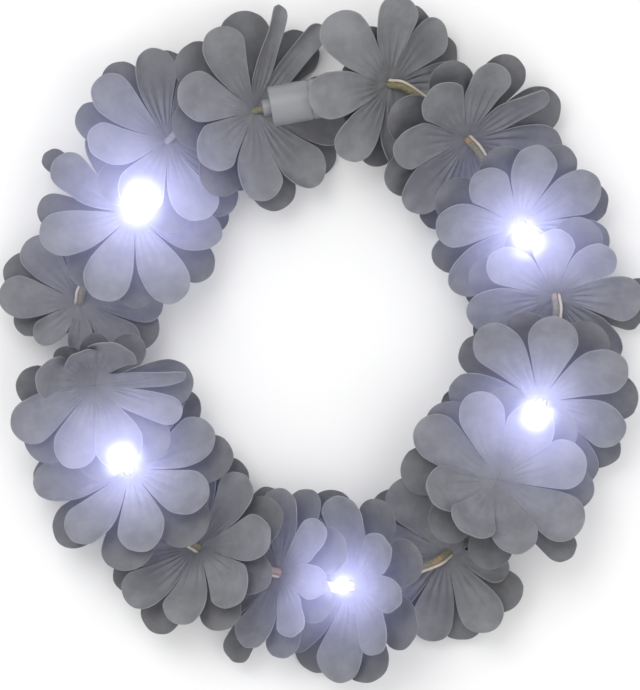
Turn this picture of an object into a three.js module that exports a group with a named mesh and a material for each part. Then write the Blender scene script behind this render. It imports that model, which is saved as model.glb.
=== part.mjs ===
// A light-up flower crown, lying face up: sixteen cloth flowers on a wrapped wire band, five of them with a
// lamp at the heart, a thin lead to the lamps, and a round battery capsule with a push button.
// Millimetres and degrees, +Z up, +Y towards the battery capsule. The flowers are numbered clockwise. Most
// are threaded on the band like beads and lean on the one before, so that their leading petals dip under
// the band and their trailing petals stand over it. Two are tied on top of the band instead.
import * as THREE from "three";

// The band: a ring of wrapped wire, and the lead that runs beside it.
const BAND_RADIUS = 90;
const BAND_THICKNESS = 2.6;
const BAND_HEIGHT = 13.5;
const BAND_STEPS = 80;
const BAND_SIDES = 6;
const LEAD_THICKNESS = 1.2;
const LEAD_STEPS = 70;
const LEAD_SIDES = 5;
const LEAD_EXIT = 3.6; // how far the lead runs straight out of the capsule
const THREAD_REACH = 5; // how far each side of a flower the band runs straight
const THREAD_ANGLE = 51; // between the band and a flower's cloth where it goes through
const SEAT_GAP = 0.3; // between pieces that touch
const STEP_SAMPLES = 8; // on each straight step of the band, to find where a piece rests on it

// The flowers: two cloth layers each, with eight petals to a layer.
const CLOTH = 1;
const PETALS = 8;
const HUB_RADIUS = 7;
const HOLE_RADIUS = 3.6;
const STITCH_HOLE_RADIUS = 1.2; // in a flower that is tied on
const LAYER_GAP = 0.6; // between the two layers at the hub
const LEAN = 27;
const FRONT = { reach: 36, half: 8.3, root: 7, tip: 27, trough: 2, rows: "fine", hiddenRows: "coarse" };
const BACK = { reach: 37, half: 8.8, root: 1, tip: 13, trough: 0.8, rows: "coarse", hiddenRows: "plain" };

// A petal's outline, as shares of its length and of its greatest half width. A petal that the next flower
// covers needs fewer rows.
const ROWS = {
  fine: [
    { along: 0.36, half: 0.74 },
    { along: 0.72, half: 1 },
    { along: 0.95, half: 0.6, middle: 1 },
  ],
  coarse: [
    { along: 0.6, half: 0.98 },
    { along: 0.94, half: 0.62, middle: 1 },
  ],
  plain: [{ along: 0.85, half: 0.9, middle: 1 }],
};
const COVERED = 62; // a petal within this angle of the way its flower faces is covered

// How far petals differ from each other, in degrees and as a share of their length.
const VARIATION = { sway: 3.5, root: 2.5, tip: 7, length: 0.04 };

// The lamps and the battery capsule.
const LAMP = { radius: 2, body: 2.6, dome: 1.8, shoulder: 0.7, sides: 6, ahead: 4 };
const CAPSULE = { radius: 7.7, length: 24, edge: 0.7, sides: 16, start: 6, bore: 3.5, boreDepth: 5 };
const BUTTON = { radius: 3.1, proud: 2.9, inside: 2.4, edge: 0.4, sides: 12 };

// The flowers, clockwise from the one beside the push button. at and out are the hub's place, as a bearing
// from +X and a share of the band's radius. turn is the bearing of a front petal, backTurn that of a back
// petal, and reach multiplies the size of the petals. lean and rise are added to the common lean and height.
// ahead and behind, in degrees, lift the petals on the side that the flower faces and on the other side. cup
// multiplies the angle at the petals' tips, and tuck shortens the petals on the side that the flower faces
// away from, where they are folded under a tied flower.
const FLOWERS = [
  { at: 105.6, out: 1.021, turn: 37, backTurn: 10, reach: 1.04, rise: -1 },
  { at: 74.8, out: 1.128, turn: 5, backTurn: 30, reach: 0.9, lean: 3, rise: 2, ahead: -6, behind: 8 },
  { at: 53.9, out: 1.06, turn: 38, backTurn: 22, reach: 1.02, lean: 2, behind: 5 },
  { at: 30.4, out: 0.979, turn: 37, backTurn: 20, reach: 1, lamp: true },
  { at: 11.1, out: 1.011, turn: 5, backTurn: 25, reach: 0.95 },
  { at: -15, out: 0.962, turn: 33, backTurn: 6, reach: 1.02, behind: -16, lamp: true },
  {
    at: -37.7, out: 0.946, turn: 13, backTurn: 38, reach: 1.04,
    lean: -32, rise: 1, ahead: 22, behind: 17, tied: true,
  },
  {
    at: -58.7, out: 1.038, turn: 34, backTurn: 12, reach: 0.96,
    lean: -14, rise: -2.5, ahead: -8, behind: -16, cup: 0.75, tuck: 0.8,
  },
  { at: -82.7, out: 1.031, turn: 40, backTurn: 18, reach: 1.03, ahead: -10, behind: 14, lamp: true },
  { at: -100.4, out: 0.983, turn: 30, backTurn: 15, reach: 0.9, lean: 6, behind: 7 },
  { at: -120.9, out: 1.004, turn: 0, backTurn: 20, reach: 0.98 },
  { at: -146.2, out: 0.965, turn: 17, backTurn: 2, reach: 1.02, behind: -8, lamp: true },
  {
    at: -169.4, out: 0.966, turn: 26, backTurn: 2, reach: 1,
    lean: -37, rise: 2, ahead: 22, behind: 17, tied: true,
  },
  {
    at: 170.3, out: 1.028, turn: 0, backTurn: 20, reach: 0.88,
    lean: -14, rise: -2.5, ahead: -8, behind: -3, cup: 0.6, tuck: 0.8,
  },
  { at: 145.3, out: 0.956, turn: 23, backTurn: 3, reach: 1.01, ahead: -3, behind: -15, lamp: true },
  { at: 126.9, out: 1.071, turn: 15, backTurn: 40, reach: 1.01, lean: 2, ahead: -6, behind: -7 },
];

// Petals that stand out from the rest: narrow ones that have curled or folded, and long ones. petal counts
// from the one at the layer's turn. sway, lift and twist are added in degrees, reach and half multiply.
const ODD_PETALS = [
  { flower: 1, layer: "front", petal: 0, sway: 14, lift: 5, twist: -28, reach: 1.1, half: 0.62 },
  { flower: 1, layer: "front", petal: 1, sway: 2, lift: 6, twist: 28, reach: 1.08, half: 0.62 },
  { flower: 3, layer: "front", petal: 0, sway: 2, lift: 5, twist: 30, reach: 1.02, half: 0.7 },
  { flower: 5, layer: "back", petal: 0, sway: -14, lift: 0, twist: 0, reach: 1, half: 0.7 },
  { flower: 7, layer: "back", petal: 6, sway: 2, lift: 0, twist: 0, reach: 1.07, half: 0.7 },
  { flower: 10, layer: "back", petal: 5, sway: 0, lift: 0, twist: 0, reach: 1.16, half: 0.75 },
  { flower: 13, layer: "front", petal: 0, sway: -14, lift: 8, twist: 40, reach: 1.04, half: 0.6 },
  { flower: 15, layer: "back", petal: 3, sway: 8, lift: 0, twist: 0, reach: 1.12, half: 0.7 },
];
const PLAIN_PETAL = { sway: 0, lift: 0, twist: 0, reach: 1, half: 1 };

const CLOTH_WHITE = { color: 0x84848a, roughness: 0.85, metalness: 0 };
const BAND_OLIVE = { color: 0x7d744a, roughness: 0.8, metalness: 0 };
const LEAD_CREAM = { color: 0xc9bfa8, roughness: 0.5, metalness: 0 };
const LAMP_CLEAR = { color: 0xf4f4ff, roughness: 0.1, metalness: 0, emissive: 0xc8c8ff };
const PLASTIC_WHITE = { color: 0xa6a7aa, roughness: 0.35, metalness: 0 };

const rad = THREE.MathUtils.degToRad;
const UP = new THREE.Vector3(0, 0, 1);

// A number from -1 to 1 that is always the same for the same two numbers.
function scatter(first, second) {
  const wave = Math.sin(12.9898 * (first + 1) + 78.233 * (second + 1)) * 43758.5453;
  return 2 * (wave - Math.floor(wave)) - 1;
}

function solidOf(faces, points) {
  const geometry = new THREE.BufferGeometry();
  geometry.setAttribute("position", new THREE.Float32BufferAttribute(points.flat(), 3));
  geometry.setIndex(faces.flat());
  geometry.computeVertexNormals();
  return geometry;
}

function meshOf(name, geometry, finish) {
  const mesh = new THREE.Mesh(geometry, new THREE.MeshStandardMaterial(finish));
  mesh.name = name;
  return mesh;
}

function numbered(kind, index) {
  return `${kind}_${String(index + 1).padStart(2, "0")}`;
}

// Where each flower's hub is, where the band passes it and how steeply, and how the flower faces and leans.
function hubsOf(flowers) {
  const passes = flowers.map(({ at, out, rise = 0 }) => {
    const radius = BAND_RADIUS * out;
    return new THREE.Vector3(radius * Math.cos(rad(at)), radius * Math.sin(rad(at)), BAND_HEIGHT + rise);
  });
  const tiedLift = BAND_THICKNESS / 2 + SEAT_GAP + CLOTH + LAYER_GAP / 2;
  return passes.map((pass, i) => {
    const { lean: extraLean = 0, tied = false } = flowers[i];
    const before = passes[(i + passes.length - 1) % passes.length];
    const after = passes[(i + 1) % passes.length];
    const along = after.clone().sub(before).setZ(0).normalize();
    const lean = rad(LEAN + extraLean);
    const slope = tied ? 0 : rad(THREAD_ANGLE) - lean;
    const leading = along.clone().multiplyScalar(Math.cos(lean)).addScaledVector(UP, -Math.sin(lean));
    const axis = along.clone().multiplyScalar(Math.sin(lean)).addScaledVector(UP, Math.cos(lean));
    const lifted = tied ? tiedLift + HUB_RADIUS * Math.sin(Math.abs(lean)) : 0;
    const frame = new THREE.Matrix4().makeBasis(leading, axis.clone().cross(leading), axis);
    frame.setPosition(pass.clone().addScaledVector(UP, lifted));
    return { pass, along, slope, heading: Math.atan2(along.y, along.x), frame };
  });
}

// Points on the band's middle line, or beside it towards the outside: just before, at and after each hub.
function threadPoints(hubs, outward) {
  return hubs.flatMap(({ pass, along, slope }) => {
    const outside = UP.clone().cross(along);
    return [-1, 0, 1].map((side) =>
      pass
        .clone()
        .addScaledVector(outside, outward)
        .addScaledVector(along, side * THREAD_REACH)
        .addScaledVector(UP, side * THREAD_REACH * Math.tan(slope)),
    );
  });
}

// A point of a petal, in the flower's own frame. along runs from the hub at 0 to the tip at 1, across from
// -1 to 1, and side is 1 on the face and -1 on the back of the cloth. The petal's middle line is an arc that
// leaves the hub at the root angle and ends at the tip angle.
function petalPoint(petal, along, across, halfShare, side) {
  const length = petal.length * along;
  const bend = (petal.tip - petal.root) / petal.length;
  const angle = petal.root + bend * length;
  const straight = Math.abs(bend) < 1e-6;
  const out = straight ? length * Math.cos(angle) : (Math.sin(angle) - Math.sin(petal.root)) / bend;
  const up = straight ? length * Math.sin(angle) : (Math.cos(petal.root) - Math.cos(angle)) / bend;
  const turned = petal.twist * along;
  const offset = across * petal.half * halfShare;
  const rise = petal.trough * across * across * halfShare + (side * CLOTH) / 2;
  const sideways = offset * Math.cos(turned) - rise * Math.sin(turned);
  const normal = offset * Math.sin(turned) + rise * Math.cos(turned);
  const radius = HUB_RADIUS + out - normal * Math.sin(angle);
  const height = petal.level + up + normal * Math.cos(angle);
  const [cos, sin] = [Math.cos(petal.bearing), Math.sin(petal.bearing)];
  return new THREE.Vector3(radius * cos - sideways * sin, radius * sin + sideways * cos, height);
}

// The petals of one layer, each a little different. bearing is from the way the flower faces. A petal is as
// much narrower as its nearest neighbour is closer, so that no petal runs into the next.
function petalsOf(index, flower, hub, layer, shape, turn, level) {
  const { ahead = 0, behind = 0, cup = 1, tuck = 0 } = flower;
  const vary = (petal, what) => scatter(index * 2 + (layer === "front" ? 0 : 1), petal * 4 + what);
  const isHere = (row) => row.flower === index + 1 && row.layer === layer;
  const apart = 360 / PETALS;
  const all = Array.from({ length: PETALS }, (_, i) => {
    const odd = ODD_PETALS.find((row) => isHere(row) && row.petal === i) ?? PLAIN_PETAL;
    return { odd, turned: turn + apart * i + VARIATION.sway * vary(i, 0) + odd.sway };
  });
  return all.map(({ odd, turned }, i) => {
    const after = i + 1 < PETALS ? all[i + 1].turned : all[0].turned + 360;
    const before = i > 0 ? all[i - 1].turned : all[PETALS - 1].turned - 360;
    const crowding = Math.min(after - turned, turned - before) / apart;
    const bearing = rad(turned) - hub.heading;
    const facing = Math.cos(bearing);
    const lift = odd.lift + (facing > 0 ? ahead * facing : -behind * facing);
    const kept = facing > 0 ? 1 : 1 - tuck * facing ** 2;
    const length = shape.reach * flower.reach * odd.reach - HUB_RADIUS;
    return {
      bearing,
      root: rad(shape.root + VARIATION.root * vary(i, 1) + lift),
      tip: rad(shape.tip * cup + VARIATION.tip * vary(i, 2) + lift),
      length: length * kept * (1 + VARIATION.length * vary(i, 3)),
      half: shape.half * flower.reach * odd.half * crowding * kept,
      trough: shape.trough * odd.half,
      twist: rad(odd.twist),
      level,
      rows: ROWS[facing > Math.cos(rad(COVERED)) ? shape.hiddenRows : shape.rows],
    };
  });
}

// One cloth layer: a ring round the hole and eight petals, closed all round. Cloth that would sink through
// the table is laid flat on it, no lower than the layer's own rest level.
function layerGeometry(petals, holeRadius, frame, restLevel) {
  const points = [];
  const faces = [];
  const back = frame.clone().invert();
  const put = (point, side) => {
    const world = point.clone().applyMatrix4(frame);
    world.z = Math.max(world.z, restLevel + (side > 0 ? CLOTH : 0));
    points.push(world.applyMatrix4(back).toArray());
    return points.length - 1;
  };
  const level = petals[0].level;
  const ringPoint = (radius, bearing, side) => {
    const height = level + (side * CLOTH) / 2;
    return put(new THREE.Vector3(radius * Math.cos(bearing), radius * Math.sin(bearing), height), side);
  };
  const pair = (make) => [1, -1].map(make); // the same place on the face and on the back
  const quad = (a, b, c, d) => faces.push([a, b, c], [a, c, d]);

  const bearings = petals.map(({ bearing }) => bearing);
  const between = bearings.map((bearing, i) => {
    const next = i + 1 < petals.length ? bearings[i + 1] : bearings[0] + 2 * Math.PI;
    return (bearing + next) / 2;
  });
  const hole = bearings.map((bearing) => pair((side) => ringPoint(holeRadius, bearing, side)));
  const middles = bearings.map((bearing) => pair((side) => ringPoint(HUB_RADIUS, bearing, side)));
  const notches = between.map((bearing) => pair((side) => ringPoint(HUB_RADIUS, bearing, side)));

  petals.forEach((petal, i) => {
    const next = (i + 1) % petals.length;
    const last = (i + petals.length - 1) % petals.length;
    // The ring between the hole and this petal.
    faces.push([hole[i][0], middles[i][0], notches[i][0]], [hole[i][1], notches[i][1], middles[i][1]]);
    faces.push([hole[i][0], notches[i][0], hole[next][0]], [hole[i][1], hole[next][1], notches[i][1]]);
    faces.push([hole[next][0], notches[i][0], middles[next][0]]);
    faces.push([hole[next][1], middles[next][1], notches[i][1]]);
    quad(hole[i][0], hole[next][0], hole[next][1], hole[i][1]);
    // The petal, row by row: its right edge, middle and left edge.
    let row = [notches[last], middles[i], notches[i]];
    for (const { along, half, middle } of petal.rows) {
      const outer = [-1, 0, 1].map((across) =>
        pair((side) => put(petalPoint(petal, across || !middle ? along : middle, across, half, side), side)),
      );
      for (const column of [0, 1]) {
        quad(row[column][0], outer[column][0], outer[column + 1][0], row[column + 1][0]);
        quad(row[column][1], row[column + 1][1], outer[column + 1][1], outer[column][1]);
      }
      quad(row[0][1], outer[0][1], outer[0][0], row[0][0]);
      quad(row[2][0], outer[2][0], outer[2][1], row[2][1]);
      row = outer;
    }
    quad(row[0][1], row[1][1], row[1][0], row[0][0]);
    quad(row[1][1], row[2][1], row[2][0], row[1][0]);
  });
  return solidOf(faces, points);
}

// A flower: a group at its hub, with the two cloth layers.
function flowerGroup(index, flower, hub) {
  const group = new THREE.Group();
  group.applyMatrix4(hub.frame);
  const label = numbered("flower", index);
  const hole = flower.tied ? STITCH_HOLE_RADIUS : HOLE_RADIUS;
  const level = (CLOTH + LAYER_GAP) / 2;
  const front = petalsOf(index, flower, hub, "front", FRONT, flower.turn, level);
  const back = petalsOf(index, flower, hub, "back", BACK, flower.backTurn, -level);
  const frontGeometry = layerGeometry(front, hole, hub.frame, CLOTH + LAYER_GAP);
  const backGeometry = layerGeometry(back, hole, hub.frame, 0);
  group.add(meshOf(`${label}_front_petals`, frontGeometry, CLOTH_WHITE));
  group.add(meshOf(`${label}_back_petals`, backGeometry, CLOTH_WHITE));
  return group;
}

// A round solid about +Z from a profile of [radius, height] that starts and ends on the axis.
function turned(profile, sides) {
  const points = profile.map(([radius, height]) => new THREE.Vector2(radius, height));
  return new THREE.LatheGeometry(points, sides).rotateX(Math.PI / 2);
}

// Points on the middle line of the band's straight steps.
function stepPoints(line) {
  const ends = line.getSpacedPoints(BAND_STEPS);
  return ends.slice(1).flatMap((end, i) =>
    Array.from({ length: STEP_SAMPLES }, (_, part) => ends[i].clone().lerp(end, part / STEP_SAMPLES)),
  );
}

// How high a flat piece has to lie to rest on the band, wherever the band passes under it.
function restOnBand(line, isUnder) {
  const heights = stepPoints(line).filter(isUnder).map(({ z }) => z);
  return Math.max(...heights) + BAND_THICKNESS / 2 + SEAT_GAP;
}

// A lamp stands on the band just ahead of its flower's hub.
function lampMesh(index, { pass, along }, line) {
  const { radius, body, dome, shoulder, sides, ahead } = LAMP;
  const profile = [
    [0, 0],
    [radius, 0],
    [radius, body],
    [radius * shoulder, body + dome * shoulder],
    [0, body + dome],
  ];
  const lamp = meshOf(numbered("lamp", index), turned(profile, sides), LAMP_CLEAR);
  const foot = lamp.position.copy(pass).addScaledVector(along, ahead);
  foot.z = restOnBand(line, ({ x, y }) => Math.hypot(x - foot.x, y - foot.y) < radius);
  return lamp;
}

// The battery capsule lies on the band, from beside the first flower's hub towards the second.
function capsuleGroup(hubs, line) {
  const [first, second] = hubs;
  const run = second.pass.clone().sub(first.pass).setZ(0).normalize();
  const { radius, length, edge, sides, start, bore, boreDepth } = CAPSULE;
  const isUnder = (point) => {
    const along = point.clone().sub(first.pass).dot(run);
    return along > start && along < start + length && point.dot(first.pass) > 0;
  };
  const group = new THREE.Group();
  group.position.copy(first.pass).addScaledVector(run, start);
  group.position.z = restOnBand(line, isUnder) + radius;
  group.quaternion.setFromUnitVectors(UP, run);
  const body = turned(
    [
      [0, boreDepth],
      [bore, boreDepth],
      [bore, 0],
      [radius - edge, 0],
      [radius, edge],
      [radius, length - edge],
      [radius - edge, length],
      [0, length],
    ],
    sides,
  );
  const button = turned(
    [
      [0, -BUTTON.proud],
      [BUTTON.radius - BUTTON.edge, -BUTTON.proud],
      [BUTTON.radius, BUTTON.edge - BUTTON.proud],
      [BUTTON.radius, BUTTON.inside],
      [0, BUTTON.inside],
    ],
    BUTTON.sides,
  );
  group.add(meshOf("battery_capsule", body, PLASTIC_WHITE), meshOf("push_button", button, PLASTIC_WHITE));
  return group;
}

// The lead leaves the capsule's far end, joins the band's outside at the second flower and ends at the last
// lamp.
function leadGeometry(hubs, capsule) {
  const lastLamp = FLOWERS.findLastIndex(({ lamp }) => lamp);
  const outward = BAND_THICKNESS / 2 + SEAT_GAP + LEAD_THICKNESS / 2;
  const exit = new THREE.Vector3(0, 0, CAPSULE.length + SEAT_GAP);
  const exitEnd = new THREE.Vector3(0, 0, CAPSULE.length + SEAT_GAP + LEAD_EXIT);
  capsule.updateMatrixWorld();
  const start = [exit, exitEnd].map((point) => point.applyMatrix4(capsule.matrixWorld));
  const route = threadPoints(hubs.slice(1, lastLamp + 1), outward);
  const section = Array.from({ length: LEAD_SIDES }, (_, i) => {
    const angle = (2 * Math.PI * i) / LEAD_SIDES;
    return new THREE.Vector2(Math.cos(angle), Math.sin(angle)).multiplyScalar(LEAD_THICKNESS / 2);
  });
  const extrudePath = new THREE.CatmullRomCurve3([...start, ...route], false, "centripetal");
  return new THREE.ExtrudeGeometry(new THREE.Shape(section), { steps: LEAD_STEPS, extrudePath });
}

const hubs = hubsOf(FLOWERS);
const crown = new THREE.Group();
const bandLine = new THREE.CatmullRomCurve3(threadPoints(hubs, 0), true, "centripetal");
const bandTube = new THREE.TubeGeometry(bandLine, BAND_STEPS, BAND_THICKNESS / 2, BAND_SIDES, true);
const capsule = capsuleGroup(hubs, bandLine);
crown.add(meshOf("band", bandTube, BAND_OLIVE), capsule);
crown.add(meshOf("lamp_lead", leadGeometry(hubs, capsule), LEAD_CREAM));
FLOWERS.forEach((flower, i) => {
  crown.add(flowerGroup(i, flower, hubs[i]));
  if (flower.lamp) crown.add(lampMesh(i, hubs[i], bandLine));
});

// The origin is on the table, under the middle of the crown's box.
const box = new THREE.Box3().setFromObject(crown, true);
const middle = box.getCenter(new THREE.Vector3());
crown.position.set(-middle.x, -middle.y, -box.min.z);

export default crown;
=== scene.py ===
"""The looks of a light-up flower crown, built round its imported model.
Lengths in the tables and in the values at the top are in millimetres, angles in degrees."""

import math

import bpy
import numpy as np
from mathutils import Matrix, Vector


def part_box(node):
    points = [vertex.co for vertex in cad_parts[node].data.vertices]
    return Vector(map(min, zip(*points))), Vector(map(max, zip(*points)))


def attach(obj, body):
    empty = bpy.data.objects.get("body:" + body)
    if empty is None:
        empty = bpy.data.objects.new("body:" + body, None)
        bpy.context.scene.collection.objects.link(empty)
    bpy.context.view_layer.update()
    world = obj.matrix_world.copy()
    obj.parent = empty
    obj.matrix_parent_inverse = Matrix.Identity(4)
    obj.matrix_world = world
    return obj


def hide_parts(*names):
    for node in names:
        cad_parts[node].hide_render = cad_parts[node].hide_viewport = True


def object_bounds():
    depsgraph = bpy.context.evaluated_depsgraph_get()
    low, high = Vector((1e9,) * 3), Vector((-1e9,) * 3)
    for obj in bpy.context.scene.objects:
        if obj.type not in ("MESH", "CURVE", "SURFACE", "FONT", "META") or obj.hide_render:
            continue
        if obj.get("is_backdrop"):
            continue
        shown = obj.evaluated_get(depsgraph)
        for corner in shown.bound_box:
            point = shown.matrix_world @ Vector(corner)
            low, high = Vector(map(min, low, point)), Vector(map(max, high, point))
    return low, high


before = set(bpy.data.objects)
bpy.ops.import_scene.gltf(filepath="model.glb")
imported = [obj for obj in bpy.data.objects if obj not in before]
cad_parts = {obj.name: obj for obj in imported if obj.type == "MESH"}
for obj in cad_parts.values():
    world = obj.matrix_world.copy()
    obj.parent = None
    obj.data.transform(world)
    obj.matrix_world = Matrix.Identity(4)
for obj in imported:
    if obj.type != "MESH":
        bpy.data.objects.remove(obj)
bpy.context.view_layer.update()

MM = 0.001
BAND_RADIUS = 90
BAND_THICKNESS = 2.6
BAND_HEIGHT = 13.5
LEAD_THICKNESS = 1.2
LEAD_EXIT = 3.6
THREAD_REACH = 5
THREAD_ANGLE = 51
SEAT_GAP = 0.3
LEAD_REST = 0.06  # how far the lead's line keeps outside the band
CLOTH = 1
FINE_CLOTH = 0.34  # the real cloth, inside the thicker solid
CLOTH_SPREAD = 1.2  # how much wider than the solid's facets the real petals' round ends are
PETALS = 8
HUB_RADIUS = 7
LAYER_GAP = 0.6
LEAN = 27
FRONT = dict(reach=36, half=8.3, root=7, tip=27, trough=2)
BACK = dict(reach=37, half=8.8, root=1, tip=13, trough=0.8)
VARIATION = dict(sway=3.5, root=2.5, tip=7, length=0.04)
LAMP = dict(radius=2, body=2.6, dome=1.8, ahead=4)
CAPSULE = dict(radius=7.7, length=24, edge=0.55, start=6, bore=3.5, boreDepth=5)
CAPSULE_RING = dict(inner=0.9, foot=1.1, groove=1.5, outer=1.2, depth=0.35)  # the ring round the button
CAPSULE_SEAM = dict(at=15.2, depth=0.28, slope=0.1, width=0.45)
BUTTON = dict(radius=3.1, proud=2.9, inside=2.4, edge=0.4, rim=0.8, dish=1.3, dishDepth=0.35, middle=0.5)
LENS = dict(foot=0.65, flange=1.05, neck=1.15, waist=0.86)  # the lamp's shape inside its solid
LENS_ARC = (0.25, 1.35)  # the dome's part of a quarter turn, in radians
TAPE_PITCH = 6.0
HOLE = dict(front=1.75, back=2.6, tied=0.25)  # the hubs' holes for the band
HOLE_SLACK = 0.3  # how much narrower the upper layers' holes are to the sides
LEAD_ROOM = 0.7  # how much wider the holes are on the side where the lead runs
HUB_DIP = dict(front=0.8, back=0.15)
QUAD = ((0, 0), (1, 0), (1, 1), (0, 1))  # a face's corners, as steps along and across a grid

FLOWERS = [
    dict(at=105.6, out=1.021, turn=37, backTurn=10, reach=1.04, rise=-1),
    dict(at=74.8, out=1.128, turn=5, backTurn=30, reach=0.9, lean=3, rise=2, ahead=-6, behind=8),
    dict(at=53.9, out=1.06, turn=38, backTurn=22, reach=1.02, lean=2, behind=5),
    dict(at=30.4, out=0.979, turn=37, backTurn=20, reach=1, lamp=True),
    dict(at=11.1, out=1.011, turn=5, backTurn=25, reach=0.95),
    dict(at=-15, out=0.962, turn=33, backTurn=6, reach=1.02, behind=-16, lamp=True),
    dict(at=-37.7, out=0.946, turn=13, backTurn=38, reach=1.04, lean=-32, rise=1,
         ahead=22, behind=17, tied=True),
    dict(at=-58.7, out=1.038, turn=34, backTurn=12, reach=0.96, lean=-14, rise=-2.5,
         ahead=-8, behind=-16, cup=0.75, tuck=0.8),
    dict(at=-82.7, out=1.031, turn=40, backTurn=18, reach=1.03, ahead=-10, behind=14, lamp=True),
    dict(at=-100.4, out=0.983, turn=30, backTurn=15, reach=0.9, lean=6, behind=7),
    dict(at=-120.9, out=1.004, turn=0, backTurn=20, reach=0.98),
    dict(at=-146.2, out=0.965, turn=17, backTurn=2, reach=1.02, behind=-8, lamp=True),
    dict(at=-169.4, out=0.966, turn=26, backTurn=2, reach=1, lean=-37, rise=2,
         ahead=22, behind=17, tied=True),
    dict(at=170.3, out=1.028, turn=0, backTurn=20, reach=0.88, lean=-14, rise=-2.5,
         ahead=-8, behind=-3, cup=0.6, tuck=0.8),
    dict(at=145.3, out=0.956, turn=23, backTurn=3, reach=1.01, ahead=-3, behind=-15, lamp=True),
    dict(at=126.9, out=1.071, turn=15, backTurn=40, reach=1.01, lean=2, ahead=-6, behind=-7),
]

# Petals that the even pattern doesn't give, by flower, layer and petal. This table and the next ones name
# flowers by their number, from 1.
ODD_PETALS = {
    (1, "front", 0): dict(sway=14, lift=5, twist=-28, reach=1.1, half=0.62),
    (1, "front", 1): dict(sway=2, lift=6, twist=28, reach=1.08, half=0.62),
    (3, "front", 0): dict(sway=2, lift=5, twist=30, reach=1.02, half=0.7),
    (5, "back", 0): dict(sway=-14, lift=0, twist=0, reach=1, half=0.7),
    (7, "back", 6): dict(sway=2, lift=0, twist=0, reach=1.07, half=0.7),
    (10, "back", 5): dict(sway=0, lift=0, twist=0, reach=1.16, half=0.75),
    (13, "front", 0): dict(sway=-14, lift=8, twist=40, reach=1.04, half=0.6),
    (15, "back", 3): dict(sway=8, lift=0, twist=0, reach=1.12, half=0.7),
}
PLAIN_PETAL = dict(sway=0, lift=0, twist=0, reach=1, half=1)

# Where the cloth is shaped more freely than its solid: root and tip lift its petals in degrees, and reach and
# half multiply their size, all by how far a petal is on the side that its flower faces (ahead) or on the
# other (behind).
CLOTH_FITS = {
    (2, "front", "behind"): dict(root=9, tip=-52, reach=1.27, half=1.18),
    (2, "back", "behind"): dict(root=0, tip=-8, reach=0.62, half=0.95),
    (6, "front", "behind"): dict(root=0, tip=0, reach=1.08, half=1.05),
    (7, "front", "ahead"): dict(root=8, tip=12, reach=0.96, half=1),
    (7, "back", "ahead"): dict(root=-3, tip=-10, reach=0.9, half=0.85),
    (8, "front", "ahead"): dict(root=-3, tip=-9, reach=1, half=1),
    (8, "back", "ahead"): dict(root=-3, tip=-9, reach=1, half=1),
    (9, "front", "ahead"): dict(root=0, tip=0, reach=1, half=0.8),
    (9, "front", "behind"): dict(root=3, tip=10, reach=0.95, half=0.74),
    (10, "front", "ahead"): dict(root=0, tip=0, reach=0.95, half=0.85),
    (10, "front", "behind"): dict(root=0, tip=6, reach=0.95, half=0.75),
    (12, "back", "behind"): dict(root=0, tip=0, reach=1.1, half=1.05),
    (13, "front", "ahead"): dict(root=16, tip=26, reach=0.84, half=1.25),
    (13, "back", "ahead"): dict(root=0, tip=-4, reach=0.5, half=0.85),
    (15, "front", "behind"): dict(root=0, tip=-10, reach=1.14, half=0.97),
}
NO_FIT = dict(root=0, tip=0, reach=1, half=1)
CLOTH_TUCK = {(14, "front"): 0.42}  # where less of the petals behind is tucked away than in the solid
PLEATED = {3: 0.45, 8: 0.5, 15: 0.2}  # how deep the soft pleats are in some flowers' petals
# The lamps' brightness here widens only their painted light in the cloth, tape and plastic
SHINE = {4: 1.15, 6: 0.85, 9: 0.7, 12: 0.95, 15: 1.9}  # how bright each lamp is
UP = np.array([0.0, 0, 1])

# The lamps' light: painted into the cloth, tape and plastic as emission by distance to the nearest lamp, with
# faint real point lights beside it (LAMP_POWER, LAMP_LIFT)
GLOW_NEAR = (0.84, 0.87, 1.0)
GLOW_FAR = (0.53, 0.55, 1.0)
GLOW_WHITE = (0.38, 0.85)  # between these the light turns from the far colour to the near one
GLOW_CORE = 1.2
GLOW_SHOULDER = 2.2  # how early the light stops growing towards a lamp
GLOW_REACH = 9
GLOW_FLATTEN = dict(above=0.5, below=0.42)  # how much a height above or below a lamp's top counts
GLOW_ASIDE = 0.75  # the share of the light that falls on a point whichever way it faces
GLOW_SOURCE = 5  # how far over a lamp's top its light comes from, for the way that a point faces
SHINE_REACH = 0.4  # how much further a brighter lamp's light goes, as a power
OVERHANG_GLOW = 0.24
OVERHANG_REACH = 19
OVERHANG_START = 0.45  # a petal that faces less far ahead of its flower hangs over the lamp behind it
OVERHANG_ROOT = 0.4  # how much of that the petal's root gets
TAPE_GLOW = 2.2
PLASTIC_GLOW = 1.5
LAMP_POWER = 0.0013
LAMP_LIFT = 2.5

CLOTH_COLOUR = (0.3, 0.303, 0.32)
# The back layer's cloth is the same as the front's, darker by painted shade
BACK_LAYER_PAINTED_SHADE = 0.74
WEAVE_PITCH = 0.55
RIBS_ACROSS = 4.0


def scatter(first, second):
    wave = math.sin(12.9898 * (first + 1) + 78.233 * (second + 1)) * 43758.5453
    return 2 * (wave - math.floor(wave)) - 1


def unit(v):
    return v / np.linalg.norm(v)


# Where the flowers sit

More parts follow.
